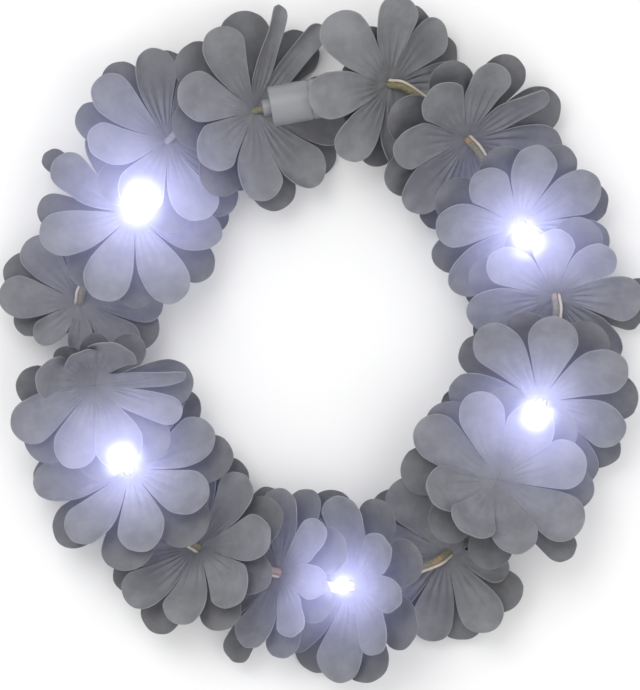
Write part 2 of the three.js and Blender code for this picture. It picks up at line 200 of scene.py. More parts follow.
def hubs_of():
    passes = []
    for f in FLOWERS:
        r, a = BAND_RADIUS * f["out"], math.radians(f["at"])
        passes.append(np.array([r * math.cos(a), r * math.sin(a), BAND_HEIGHT + f.get("rise", 0)]))
    tied_lift = BAND_THICKNESS / 2 + SEAT_GAP + CLOTH + LAYER_GAP / 2
    hubs = []
    for i, (f, here) in enumerate(zip(FLOWERS, passes)):
        along = passes[(i + 1) % len(passes)] - passes[i - 1]
        along[2] = 0
        along = unit(along)
        lean = math.radians(LEAN + f.get("lean", 0))
        tied = f.get("tied", False)
        slope = 0 if tied else math.radians(THREAD_ANGLE) - lean
        leading = along * math.cos(lean) - UP * math.sin(lean)
        axis = along * math.sin(lean) + UP * math.cos(lean)
        place = here + UP * (tied_lift + HUB_RADIUS * math.sin(abs(lean)) if tied else 0)
        basis = np.stack([leading, np.cross(axis, leading), axis], axis=1)
        hubs.append(dict(here=here, along=along, slope=slope, place=place, basis=basis,
                         heading=math.atan2(along[1], along[0])))
    return hubs


def thread_points(hubs, outward):
    points = []
    for h in hubs:
        outside = np.cross(UP, h["along"])
        for side in (-1, 0, 1):
            points.append(h["here"] + outside * outward + h["along"] * side * THREAD_REACH
                          + UP * side * THREAD_REACH * math.tan(h["slope"]))
    return points


HUBS = hubs_of()
lamp_4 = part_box("lamp_04")
foot_4 = HUBS[3]["here"] + HUBS[3]["along"] * LAMP["ahead"]
SHIFT = np.array([(lamp_4[0][k] + lamp_4[1][k]) / 2 / MM - foot_4[k] for k in (0, 1)] + [0.0])


# Meshes and curves

def mesh_object(name, points, faces, material, smooth=60):
    """A mesh from points in millimetres in the table's frame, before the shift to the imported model's."""
    mesh = bpy.data.meshes.new(name)
    mesh.from_pydata(((np.asarray(points) + SHIFT) * MM).tolist(), [], [list(map(int, f)) for f in faces])
    mesh.polygons.foreach_set("use_smooth", [True] * len(mesh.polygons))
    mesh.set_sharp_from_angle(angle=math.radians(smooth))
    mesh.materials.append(material)
    obj = bpy.data.objects.new(name, mesh)
    bpy.context.scene.collection.objects.link(obj)
    return obj


def catmull(points, closed, steps):
    """Points on the centripetal curve through some points."""
    points = [np.asarray(p, float) for p in points]
    n = len(points)
    spans = n if closed else n - 1
    made = []
    for k in range(spans):
        if closed:
            p = [points[(k + d) % n] for d in (-1, 0, 1, 2)]
        else:
            before = points[k - 1] if k > 0 else 2 * points[0] - points[1]
            after = points[k + 2] if k + 2 < n else 2 * points[-1] - points[-2]
            p = [before, points[k], points[k + 1], after]
        d = [max(np.linalg.norm(p[j + 1] - p[j]) ** 0.5, 1e-4) for j in range(3)]
        m1 = ((p[1] - p[0]) / d[0] - (p[2] - p[0]) / (d[0] + d[1]) + (p[2] - p[1]) / d[1]) * d[1]
        m2 = ((p[2] - p[1]) / d[1] - (p[3] - p[1]) / (d[1] + d[2]) + (p[3] - p[2]) / d[2]) * d[1]
        for w in np.arange(steps) / steps:
            c2 = -3 * p[1] + 3 * p[2] - 2 * m1 - m2
            c3 = 2 * p[1] - 2 * p[2] + m1 + m2
            made.append(p[1] + m1 * w + c2 * w * w + c3 * w ** 3)
    if not closed:
        made.append(points[-1])
    return np.array(made)


def evenly(line, step, closed):
    """The same line with its points a fixed step apart."""
    whole = np.vstack([line, line[:1]]) if closed else line
    length = np.r_[0, np.cumsum(np.linalg.norm(np.diff(whole, axis=0), axis=1))]
    count = max(8, int(round(length[-1] / step)))
    at = np.linspace(0, length[-1], count, endpoint=not closed)
    return np.stack([np.interp(at, length, whole[:, k]) for k in range(3)], axis=1), at


def tube(name, line, at, radius, sides, closed, material):
    """A round tube on a line. radius gives the radius from the arc length and the angle round the line."""
    n = len(line)
    if closed:
        tangents = np.roll(line, -1, axis=0) - np.roll(line, 1, axis=0)
    else:
        tangents = np.gradient(line, axis=0)
    tangents /= np.linalg.norm(tangents, axis=1)[:, None]
    angles = 2 * math.pi * np.arange(sides) / sides
    points = []
    for k in range(n):
        side = unit(np.cross(UP, tangents[k]))
        top = np.cross(tangents[k], side)
        r = radius(at[k], angles)
        points.append(line[k] + side * (np.cos(angles) * r)[:, None] + top * (np.sin(angles) * r)[:, None])
    points = np.concatenate(points)
    faces = []
    for k in range(n if closed else n - 1):
        a, b = k * sides, ((k + 1) % n) * sides
        for j in range(sides):
            j2 = (j + 1) % sides
            faces.append((a + j, b + j, b + j2, a + j2))
    if not closed:
        ends = [line[0] - tangents[0] * 0.3, line[-1] + tangents[-1] * 0.3]
        points = np.vstack([points, ends])
        last = (n - 1) * sides
        for j in range(sides):
            j2 = (j + 1) % sides
            faces.append((n * sides, j, j2))
            faces.append((n * sides + 1, last + j2, last + j))
    return mesh_object(name, points, faces, material, smooth=75)


def turned(name, profile, sides, place, run, material, smooth=40):
    """A round solid with its axis along run, from a profile of (radius, height) that starts and ends on
    the axis."""
    run = unit(np.asarray(run, float))
    side = unit(np.cross(run, UP if abs(run[2]) < 0.9 else np.array([1.0, 0, 0])))
    other = np.cross(run, side)
    angles = 2 * math.pi * np.arange(sides) / sides
    rings = [(r, h) for r, h in profile if r > 1e-6]
    points = [place + run * h + (side * np.cos(a) + other * np.sin(a)) * r for r, h in rings for a in angles]
    points += [place + run * profile[0][1], place + run * profile[-1][1]]
    faces = []
    for k in range(len(rings) - 1):
        for j in range(sides):
            j2 = (j + 1) % sides
            faces.append((k * sides + j, k * sides + j2, (k + 1) * sides + j2, (k + 1) * sides + j))
    last = (len(rings) - 1) * sides
    for j in range(sides):
        j2 = (j + 1) % sides
        faces.append((len(points) - 2, j2, j))
        faces.append((len(points) - 1, last + j, last + j2))
    return mesh_object(name, np.array(points), faces, material, smooth)


def rounded(corners, radius, steps=4):
    """A profile with its inner corners rounded by short arcs."""
    made = [corners[0]]
    for before, here, after in zip(corners, corners[1:], corners[2:]):
        a, b, c = (np.array(x, float) for x in (before, here, after))
        ra = min(radius, np.linalg.norm(a - b) * 0.49)
        rb = min(radius, np.linalg.norm(c - b) * 0.49)
        start, end = b + unit(a - b) * ra, b + unit(c - b) * rb
        for w in np.linspace(0, 1, steps):
            made.append(tuple((1 - w) ** 2 * start + 2 * w * (1 - w) * b + w * w * end))
    made.append(corners[-1])
    return made


# Materials

def material_of(name):
    mat = bpy.data.materials.new(name)
    mat.use_nodes = True
    tree = mat.node_tree
    bsdf = tree.nodes["Principled BSDF"]
    return mat, tree, bsdf


def node(tree, kind, **values):
    made = tree.nodes.new(kind)
    for key, value in values.items():
        if key in made.inputs:
            made.inputs[key].default_value = value
        else:
            setattr(made, key, value)
    return made


def maths(tree, operation, first, second=None, third=None):
    made = tree.nodes.new("ShaderNodeMath")
    made.operation = operation
    for socket, value in zip(made.inputs, (first, second, third)):
        if value is None:
            continue
        if isinstance(value, (int, float)):
            socket.default_value = value
        else:
            tree.links.new(value, socket)
    return made.outputs[0]


def mixed(tree, factor, first, second):
    made = tree.nodes.new("ShaderNodeMix")
    made.data_type = "RGBA"
    for socket, value in ((made.inputs[0], factor), (made.inputs[6], first), (made.inputs[7], second)):
        if isinstance(value, (int, float)):
            socket.default_value = value
        elif isinstance(value, tuple):
            socket.default_value = (*value, 1)
        else:
            tree.links.new(value, socket)
    return made.outputs[2]


def smooth_range(tree, value, low, high, to_low=0.0, to_high=1.0):
    made = tree.nodes.new("ShaderNodeMapRange")
    made.interpolation_type = "SMOOTHSTEP"
    tree.links.new(value, made.inputs["Value"])
    for key, number in (("From Min", low), ("From Max", high), ("To Min", to_low), ("To Max", to_high)):
        made.inputs[key].default_value = number
    return made.outputs[0]


def painted_lamp_glow(tree, bsdf, strength):
    """Painted light of the nearest lamp, as emission in whatever is beside it: white close by, then lavender.
    """
    link = tree.links.new
    glow = node(tree, "ShaderNodeAttribute", attribute_name="glow")
    near = smooth_range(tree, glow.outputs["Fac"], *GLOW_WHITE)
    link(mixed(tree, near, GLOW_FAR, GLOW_NEAR), bsdf.inputs["Emission Color"])
    unlit = maths(tree, "EXPONENT", maths(tree, "MULTIPLY", glow.outputs["Fac"], -GLOW_SHOULDER))
    lit = maths(tree, "MULTIPLY_ADD", near, GLOW_CORE, maths(tree, "SUBTRACT", 1.0, unlit))
    link(maths(tree, "MULTIPLY", lit, strength), bsdf.inputs["Emission Strength"])


def petal_material(name, colour, rib_depth, rib_end, strength):
    """Thin pressed cloth: soft ribs that fan out of the hub with painted shade between them, a fine weave, a
    paler cut edge and light from the lamps, real through the translucent cloth and painted as emission."""
    mat, tree, bsdf = material_of(name)
    link = tree.links.new
    place = node(tree, "ShaderNodeUVMap", uv_map="petal")
    split = tree.nodes.new("ShaderNodeSeparateXYZ")
    link(place.outputs[0], split.inputs[0])
    across, along = split.outputs[0], split.outputs[1]
    kind = node(tree, "ShaderNodeUVMap", uv_map="edge")
    kind_split = tree.nodes.new("ShaderNodeSeparateXYZ")
    link(kind.outputs[0], kind_split.inputs[0])
    edge, which = kind_split.outputs[0], kind_split.outputs[1]
    flat = node(tree, "ShaderNodeAttribute", attribute_name="flat")

    # The ribs: some even, some by chance, all running along the petal.
    wander = tree.nodes.new("ShaderNodeCombineXYZ")
    link(maths(tree, "MULTIPLY", across, 5.0), wander.inputs[0])
    link(maths(tree, "MULTIPLY", along, 0.8), wander.inputs[1])
    link(maths(tree, "MULTIPLY", which, 37.0), wander.inputs[2])
    chance = node(tree, "ShaderNodeTexNoise", Scale=1.0, Detail=2.0, Roughness=0.45)
    link(wander.outputs[0], chance.inputs["Vector"])
    own_phase = maths(tree, "MULTIPLY", which, 40.0)
    phase = maths(tree, "MULTIPLY_ADD", across, 2 * math.pi * RIBS_ACROSS, own_phase)
    drift = maths(tree, "MULTIPLY_ADD", chance.outputs[0], 5.0, phase)
    even = maths(tree, "SINE", drift)
    fade = smooth_range(tree, along, rib_end, 0.05)
    near = smooth_range(tree, along, -0.08, 0.16)
    ribs = maths(tree, "MULTIPLY_ADD", chance.outputs[0], 1.5, maths(tree, "MULTIPLY", even, 0.32))
    pressed = smooth_range(tree, which, 0.2, 1.0, 0.5, 1.7)
    strong = maths(tree, "MULTIPLY", near, pressed)
    ribs = maths(tree, "MULTIPLY", maths(tree, "MULTIPLY", ribs, fade), strong)

    # Broad soft hollows, and the weave.
    broad = node(tree, "ShaderNodeTexNoise", Scale=0.16, Detail=2.0, Roughness=0.5)
    link(flat.outputs["Vector"], broad.inputs["Vector"])
    flat_split = tree.nodes.new("ShaderNodeSeparateXYZ")
    link(flat.outputs["Vector"], flat_split.inputs[0])
    warp = maths(tree, "SINE", maths(tree, "MULTIPLY", flat_split.outputs[0], 2 * math.pi / WEAVE_PITCH))
    weft = maths(tree, "SINE", maths(tree, "MULTIPLY", flat_split.outputs[1], 2 * math.pi / WEAVE_PITCH))
    weave = maths(tree, "MULTIPLY", warp, weft)
    height = maths(tree, "MULTIPLY_ADD", ribs, rib_depth, maths(tree, "MULTIPLY", broad.outputs[0], 0.5))
    height = maths(tree, "MULTIPLY_ADD", weave, 0.02, height)
    bump = node(tree, "ShaderNodeBump", Strength=1.0, Distance=0.001)
    link(height, bump.inputs["Height"])
    link(bump.outputs[0], bsdf.inputs["Normal"])

    # Colour: a little uneven, with painted shade darker between the ribs, pale along the cut.
    tone = node(tree, "ShaderNodeTexNoise", Scale=0.09, Detail=3.0, Roughness=0.6)
    link(flat.outputs["Vector"], tone.inputs["Vector"])
    darker = tuple(c * 0.86 for c in colour)
    lighter = tuple(min(1, c * 1.12) for c in colour)
    base = mixed(tree, smooth_range(tree, tone.outputs[0], 0.3, 0.7), darker, lighter)
    painted_rib_shade = maths(tree, "MULTIPLY", smooth_range(tree, ribs, 0.7, 0.2), maths(tree, "MULTIPLY", fade, 0.32))
    base = mixed(tree, painted_rib_shade, base, tuple(c * 0.6 for c in colour))
    rim = smooth_range(tree, edge, 0.6, 0.05)
    base = mixed(tree, maths(tree, "MULTIPLY", rim, 0.3), base, tuple(min(1, c * 1.4) for c in colour))
    link(base, bsdf.inputs["Base Color"])
    rough = smooth_range(tree, chance.outputs[0], 0.3, 0.7, 0.62, 0.78)
    link(rough, bsdf.inputs["Roughness"])
    bsdf.inputs["Specular IOR Level"].default_value = 0.3
    bsdf.inputs["Sheen Weight"].default_value = 0.15
    bsdf.inputs["Sheen Roughness"].default_value = 0.4

    painted_lamp_glow(tree, bsdf, strength)
    through = node(tree, "ShaderNodeBsdfTranslucent")
    link(base, through.inputs["Color"])
    link(bump.outputs[0], through.inputs["Normal"])
    both = node(tree, "ShaderNodeMixShader")
    both.inputs[0].default_value = 0.3
    link(bsdf.outputs[0], both.inputs[1])
    link(through.outputs[0], both.inputs[2])
    link(both.outputs[0], tree.nodes["Material Output"].inputs["Surface"])
    return mat


def tape_material():
    """Olive crepe tape, wound and rubbed, with a worn orange patch here and there."""
    mat, tree, bsdf = material_of("band_tape")
    link = tree.links.new
    where = node(tree, "ShaderNodeTexCoord")
    patches = node(tree, "ShaderNodeTexNoise", Scale=95.0, Detail=3.0, Roughness=0.6)
    link(where.outputs["Object"], patches.inputs["Vector"])
    grain = node(tree, "ShaderNodeTexNoise", Scale=1500.0, Detail=3.0, Roughness=0.6)
    link(where.outputs["Object"], grain.inputs["Vector"])
    base = mixed(tree, smooth_range(tree, grain.outputs[0], 0.35, 0.65),
                 (0.15, 0.135, 0.075), (0.26, 0.235, 0.14))
    worn = smooth_range(tree, patches.outputs[0], 0.56, 0.62)
    base = mixed(tree, maths(tree, "MULTIPLY", worn, 0.8), base, (0.42, 0.24, 0.10))
    link(base, bsdf.inputs["Base Color"])
    link(smooth_range(tree, grain.outputs[0], 0.3, 0.7, 0.6, 0.85), bsdf.inputs["Roughness"])
    bump = node(tree, "ShaderNodeBump", Strength=0.7, Distance=0.0003)
    link(grain.outputs[0], bump.inputs["Height"])
    link(bump.outputs[0], bsdf.inputs["Normal"])
    # Painted lamp light in the tape, as emission
    painted_lamp_glow(tree, bsdf, TAPE_GLOW)
    return mat


def plastic_material(name, colour, roughness, speckle):
    """Moulded plastic with faint flow marks and fine grain."""
    mat, tree, bsdf = material_of(name)
    link = tree.links.new
    where = node(tree, "ShaderNodeTexCoord")
    cloud = node(tree, "ShaderNodeTexNoise", Scale=60.0, Detail=4.0, Roughness=0.6)
    grain = node(tree, "ShaderNodeTexNoise", Scale=2600.0, Detail=2.0, Roughness=0.5)
    for texture in (cloud, grain):
        link(where.outputs["Object"], texture.inputs["Vector"])
    base = mixed(tree, smooth_range(tree, cloud.outputs[0], 0.35, 0.65),
                 tuple(c * (1 - speckle) for c in colour), tuple(c * (1 + speckle) for c in colour))
    link(base, bsdf.inputs["Base Color"])
    rough = smooth_range(tree, cloud.outputs[0], 0.3, 0.7, roughness - 0.06, roughness + 0.06)
    link(rough, bsdf.inputs["Roughness"])
    bump = node(tree, "ShaderNodeBump", Strength=0.35, Distance=0.00008)
    link(grain.outputs[0], bump.inputs["Height"])
    link(bump.outputs[0], bsdf.inputs["Normal"])
    # Painted lamp light in the plastic, as emission
    painted_lamp_glow(tree, bsdf, PLASTIC_GLOW)
    return mat


def lamp_material():
    """A lit lens, white at its core and bluer at its foot."""
    mat, tree, bsdf = material_of("lamp_lens_lit")
    link = tree.links.new
    where = node(tree, "ShaderNodeTexCoord")
    split = tree.nodes.new("ShaderNodeSeparateXYZ")
    link(where.outputs["Object"], split.inputs[0])
    cloud = node(tree, "ShaderNodeTexNoise", Scale=500.0, Detail=2.0)
    link(where.outputs["Object"], cloud.inputs["Vector"])
    high = smooth_range(tree, split.outputs[2], 0.0165, 0.0205)
    link(mixed(tree, high, (0.45, 0.5, 1.0), (0.86, 0.9, 1.0)), bsdf.inputs["Emission Color"])
    link(smooth_range(tree, high, 0.0, 1.0, 4.0, 16.0), bsdf.inputs["Emission Strength"])
    link(mixed(tree, cloud.outputs[0], (0.8, 0.82, 0.95), (0.95, 0.95, 1.0)), bsdf.inputs["Base Color"])
    bsdf.inputs["Roughness"].default_value = 0.12
    bsdf.inputs["Coat Weight"].default_value = 0.4
    return mat


front_cloth = petal_material("petal_cloth_front", CLOTH_COLOUR, 0.42, 0.75, 1.75)
# The back layer: the front's cloth with painted shade in its colour and weaker painted lamp light
back_cloth = petal_material("petal_cloth_back_painted_shade", tuple(c * BACK_LAYER_PAINTED_SHADE for c in CLOTH_COLOUR), 0.45, 1.0, 1.25)
tape = tape_material()
sheath = plastic_material("lead_sheath_cream", (0.6, 0.54, 0.44), 0.45, 0.08)
shell = plastic_material("battery_shell", (0.24, 0.243, 0.252), 0.38, 0.04)
lens = lamp_material()

# The lamps' places, for their lenses, their light and the light painted into the cloth.
lamp_places = {}
for i, flower in enumerate(FLOWERS):
    if flower.get("lamp"):
        low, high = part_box(f"lamp_{i + 1:02d}")
        lamp_places[i] = np.array([(low[k] + high[k]) / 2 / MM for k in range(2)] + [low[2] / MM]) - SHIFT
lamp_tops = np.array([p + UP * (LAMP["body"] + LAMP["dome"]) for p in lamp_places.values()])
shines = np.array([SHINE[i + 1] for i in lamp_places])


def add_glow(obj, overhang=None):
    """How strongly the nearest lamp's painted light shows at each point, more where the surface faces it or
    turns its back. overhang is how far each point belongs to a petal that hangs over a lamp, whose painted
    light comes through it."""
    count = len(obj.data.vertices)
    points, normals = np.empty(3 * count), np.empty(3 * count)
    obj.data.vertices.foreach_get("co", points)
    obj.data.vertex_normals.foreach_get("vector", normals)
    points = points.reshape(-1, 3) / MM - SHIFT
    away = lamp_tops[None] - points[:, None, :]
    flatten = np.where(away[:, :, 2:] < 0, GLOW_FLATTEN["above"], GLOW_FLATTEN["below"])
    flatten = flatten * UP + np.array([1, 1, 0])
    far = np.linalg.norm(away * flatten, axis=2) / shines ** SHINE_REACH
    nearest = far.argmin(1)
    away = away[np.arange(count), nearest] + UP * GLOW_SOURCE
    far = far.min(1)
    facing = np.abs((away * normals.reshape(-1, 3)).sum(1)) / np.maximum(np.linalg.norm(away, axis=1), 1e-3)
    glow = np.exp(-far / GLOW_REACH) * (GLOW_ASIDE + (1 - GLOW_ASIDE) * facing)
    if overhang is not None:
        glow += OVERHANG_GLOW * np.exp(-far / OVERHANG_REACH) * overhang
    obj.data.attributes.new("glow", "FLOAT", "POINT").data.foreach_set("value", glow.astype(np.float32))


# The petals

def petals_of(index, layer):
    flower, hub = FLOWERS[index], HUBS[index]
    shape = FRONT if layer == "front" else BACK
    turn = flower["turn"] if layer == "front" else flower["backTurn"]
    number = 0 if layer == "front" else 1
    level = (CLOTH + LAYER_GAP) / 2 * (1 if layer == "front" else -1)
    apart = 360 / PETALS

    def vary(petal, what):
        return scatter(index * 2 + number, petal * 4 + what)

    rows = []
    for i in range(PETALS):
        odd = ODD_PETALS.get((index + 1, layer, i), PLAIN_PETAL)
        rows.append((odd, turn + apart * i + VARIATION["sway"] * vary(i, 0) + odd["sway"]))
    made = []
    for i, (odd, bearing) in enumerate(rows):
        after = rows[i + 1][1] if i + 1 < PETALS else rows[0][1] + 360
        before = rows[i - 1][1] if i > 0 else rows[-1][1] - 360
        crowding = min(after - bearing, bearing - before) / apart
        local = math.radians(bearing) - hub["heading"]
        facing = math.cos(local)
        way = "ahead" if facing > 0 else "behind"
        lift = odd["lift"] + flower.get(way, 0) * abs(facing)
        tuck = CLOTH_TUCK.get((index + 1, layer), flower.get("tuck", 0))
        kept = 1 if facing > 0 else 1 - tuck * facing ** 2
        length = shape["reach"] * flower["reach"] * odd["reach"] - HUB_RADIUS
        half = shape["half"] * flower["reach"] * odd["half"] * crowding * kept
        fit = CLOTH_FITS.get((index + 1, layer, way), NO_FIT)
        share = min(1, 1.3 * abs(facing))
        made.append(dict(
            bearing=local, facing=facing, level=level,
            root=math.radians(shape["root"] + VARIATION["root"] * vary(i, 1) + lift + fit["root"] * share),
            tip=math.radians(shape["tip"] * flower.get("cup", 1) + VARIATION["tip"] * vary(i, 2) + lift
                             + fit["tip"] * share),
            length=length * kept * (1 + VARIATION["length"] * vary(i, 3)) * (1 + (fit["reach"] - 1) * share),
            half=half * (1 + (fit["half"] - 1) * share),
            trough=shape["trough"] * odd["half"], twist=math.radians(odd["twist"]),
            pleat=PLEATED.get(index + 1, 0), curl=2 if layer == "front" else 13,
            left=math.radians(after - bearing) / 2, right=math.radians(bearing - before) / 2))
    return made


HALF_COLUMNS = np.array([0.07, 0.22, 0.36, 0.5, 0.64, 0.77, 0.88, 0.96, 1])
COLUMNS = np.r_[-HALF_COLUMNS[::-1], HALF_COLUMNS]
ROWS = np.r_[np.linspace(0, 0.72, 12), 0.77, 0.82, 0.865, 0.905, 0.94, 0.97, 1.0]
HUB_ROWS = (0.0, 0.14, 0.36, 0.66, 1.0)  # from the hole's edge to the petals' roots


def petal_outline(petal, s, t, rand):
    """How far along and across its petal each point lies: sides that fan out of the hub as far as the
    neighbours let them, then a round end."""
    length, half = petal["length"], petal["half"] * CLOTH_SPREAD
    end = min(half * (0.95 + 0.13 * rand.uniform(-1, 1)), 0.45 * length)
    straight = 1 - end / length
    gap = np.where(t > 0, petal["left"], petal["right"])
    reach = HUB_RADIUS + np.minimum(s, straight) * length
    open_out = np.clip(s / 0.2, 0, 1)
    room = reach * (np.sin(gap) * (1 - open_out) + np.tan(gap) * (0.975 - 0.04 * s) * open_out)
    fan = room / (1 + (room / half) ** 9) ** (1 / 9)
    turn = np.clip((s - straight) / (1 - straight), 0, 1)
    side = length * np.minimum(s, straight) + end * np.sin(math.pi / 4 * turn)
    middle = length * s
    along = side + (middle - side) * (1 - t ** 2)
    across = t * fan * np.cos(math.pi / 4 * turn)
    across = across * (1 - 0.05 * rand.uniform(0, 1, 2)[(t > 0).astype(int)] * np.sin(math.pi * s))
    return along, across


def petal_surface(petal, seed):
    """The middle surface of one petal in its flower's frame, with its flat coordinates and its distance from
    the cut edge."""
    s, t = np.meshgrid(ROWS, COLUMNS, indexing="ij")
    rand = np.random.default_rng(seed)
    length, half = petal["length"], petal["half"]
    along, offset = petal_outline(petal, s, t, rand)
    toward = along / length
    fine = np.linspace(0, 1.05, 106)
    curl = math.radians(petal["curl"] + rand.uniform(0, 18))
    angle = petal["root"] + (petal["tip"] - petal["root"]) * fine
    angle = angle - curl * np.clip((fine - 0.74) / 0.26, 0, 1.2) ** 2
    out = np.r_[0, np.cumsum(np.cos(angle[:-1] + np.diff(angle) / 2)) * 0.01] * length
    rise = np.r_[0, np.cumsum(np.sin(angle[:-1] + np.diff(angle) / 2)) * 0.01] * length
    out, rise, angle = (np.interp(toward, fine, v) for v in (out, rise, angle))
    side_gap = np.where(t > 0, petal["left"], petal["right"])
    width = np.abs(offset[:, -1:])
    share = np.abs(offset) / max(half, 1e-6)
    spoon = 0.55 + 0.75 * np.exp(-(((s - 0.72) / 0.25) ** 2))
    bowl = petal["trough"] * t ** 2 * share * spoon
    wave = rand.uniform(0, 2 * math.pi, 3)
    ruffle = 0.34 * np.abs(t) ** 2.2 * s * np.sin(2 * math.pi * 1.15 * s + wave[0] + np.sign(t) * 0.9)
    ruffle += 0.22 * np.sin(1.6 * math.pi * t + wave[1]) * np.clip((s - 0.45) / 0.55, 0, 1) ** 2
    crease = -0.28 * np.exp(-((t / 0.16) ** 2)) * np.clip(s / 0.15, 0, 1) * np.clip((0.95 - s) / 0.4, 0, 1)
    pleats = petal["pleat"] * np.sin(3.6 * math.pi * t + wave[2]) * np.clip(s / 0.25, 0, 1)
    pleats *= np.clip((0.88 - s) / 0.6, 0, 1)
    normal_rise = bowl + ruffle + crease + pleats
    twisted = petal["twist"] * toward + math.radians(rand.uniform(-5, 5)) * s
    sideways = offset * np.cos(twisted) - normal_rise * np.sin(twisted) + rand.uniform(-0.7, 0.7) * s ** 2
    normal = offset * np.sin(twisted) + normal_rise * np.cos(twisted)
    bend = (HUB_RADIUS - HUB_RADIUS * np.cos(t * side_gap)) * np.clip(1 - s / 0.3, 0, 1) ** 2
    radius = HUB_RADIUS + out - normal * np.sin(angle) - bend
    height = petal["level"] + rise + normal * np.cos(angle)
    cos, sin = math.cos(petal["bearing"]), math.sin(petal["bearing"])
    points = np.stack([radius * cos - sideways * sin, radius * sin + sideways * cos, height], axis=-1)
    flat_radius = HUB_RADIUS + toward * length
    flat = np.stack([flat_radius * cos - offset * sin, flat_radius * sin + offset * cos, 0 * offset], axis=-1)
    edge = np.minimum((1 - np.abs(t)) * width, (1 - s) * length)
    return points, flat, edge


def hanging(facing):
    """How far cloth on this side of its flower hangs over the lamp behind it, from 0 to 1, for the painted
    light through it.
    """
    return min(1, max(0, OVERHANG_START - facing))


def cut_edges(faces, petal_uv, edge_uv, count):
    """The faces that close the cloth's two sides along its cut edge, with their two maps."""
    seen = {}
    for face, uv, ed in zip(faces, petal_uv, edge_uv):
        for c in range(4):
            d = (c + 1) % 4
            a, b = face[c], face[d]
            seen.setdefault((min(a, b), max(a, b)), []).append((a, b, uv[c], uv[d], ed[c], ed[d]))
    rims, rim_uv, rim_edge = [], [], []
    for uses in seen.values():
        if len(uses) == 1:
            a, b, ua, ub, ea, eb = uses[0]
            rims.append((b, a, a + count, b + count))
            rim_uv.append((ub, ua, ua, ub))
            rim_edge.append((eb, ea, ea, eb))
    return rims, rim_uv, rim_edge


